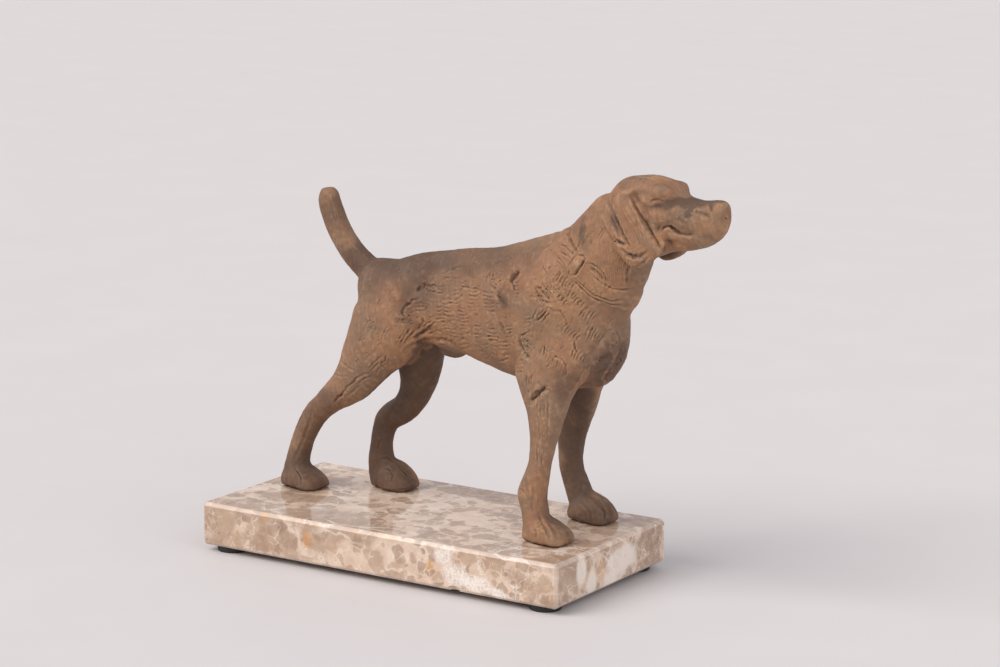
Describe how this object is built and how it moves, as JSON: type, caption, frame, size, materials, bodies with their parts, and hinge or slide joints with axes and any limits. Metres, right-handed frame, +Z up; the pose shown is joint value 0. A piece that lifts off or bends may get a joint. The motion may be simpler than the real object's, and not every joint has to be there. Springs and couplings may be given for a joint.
{
  "type": "animal figurine",
  "caption": "Standing hunting dog in matt brown ceramic with a raised tail and a collar, on a polished marble slab that stands on round rubber feet.",
  "frame": {"origin": "middle of the bounding box's underside, on the surface that the rubber feet stand on", "axes": "+X along the slab's length toward the dog's head, +Y toward the dog's left side, +Z up"},
  "size_m": [0.2564, 0.099, 0.1964],
  "materials": {
    "brown_ceramic": "matt, unglazed, brushed with a brown stain",
    "beige_marble": "polished brecciated marble",
    "black_rubber": "matt moulded rubber"
  },
  "bodies": {
    "root": {"dog": "brown_ceramic", "marble_base": "beige_marble", "rubber_foot_tail_near": "black_rubber", "rubber_foot_tail_far": "black_rubber", "rubber_foot_head_near": "black_rubber", "rubber_foot_head_far": "black_rubber"}
  },
  "joints": []
}
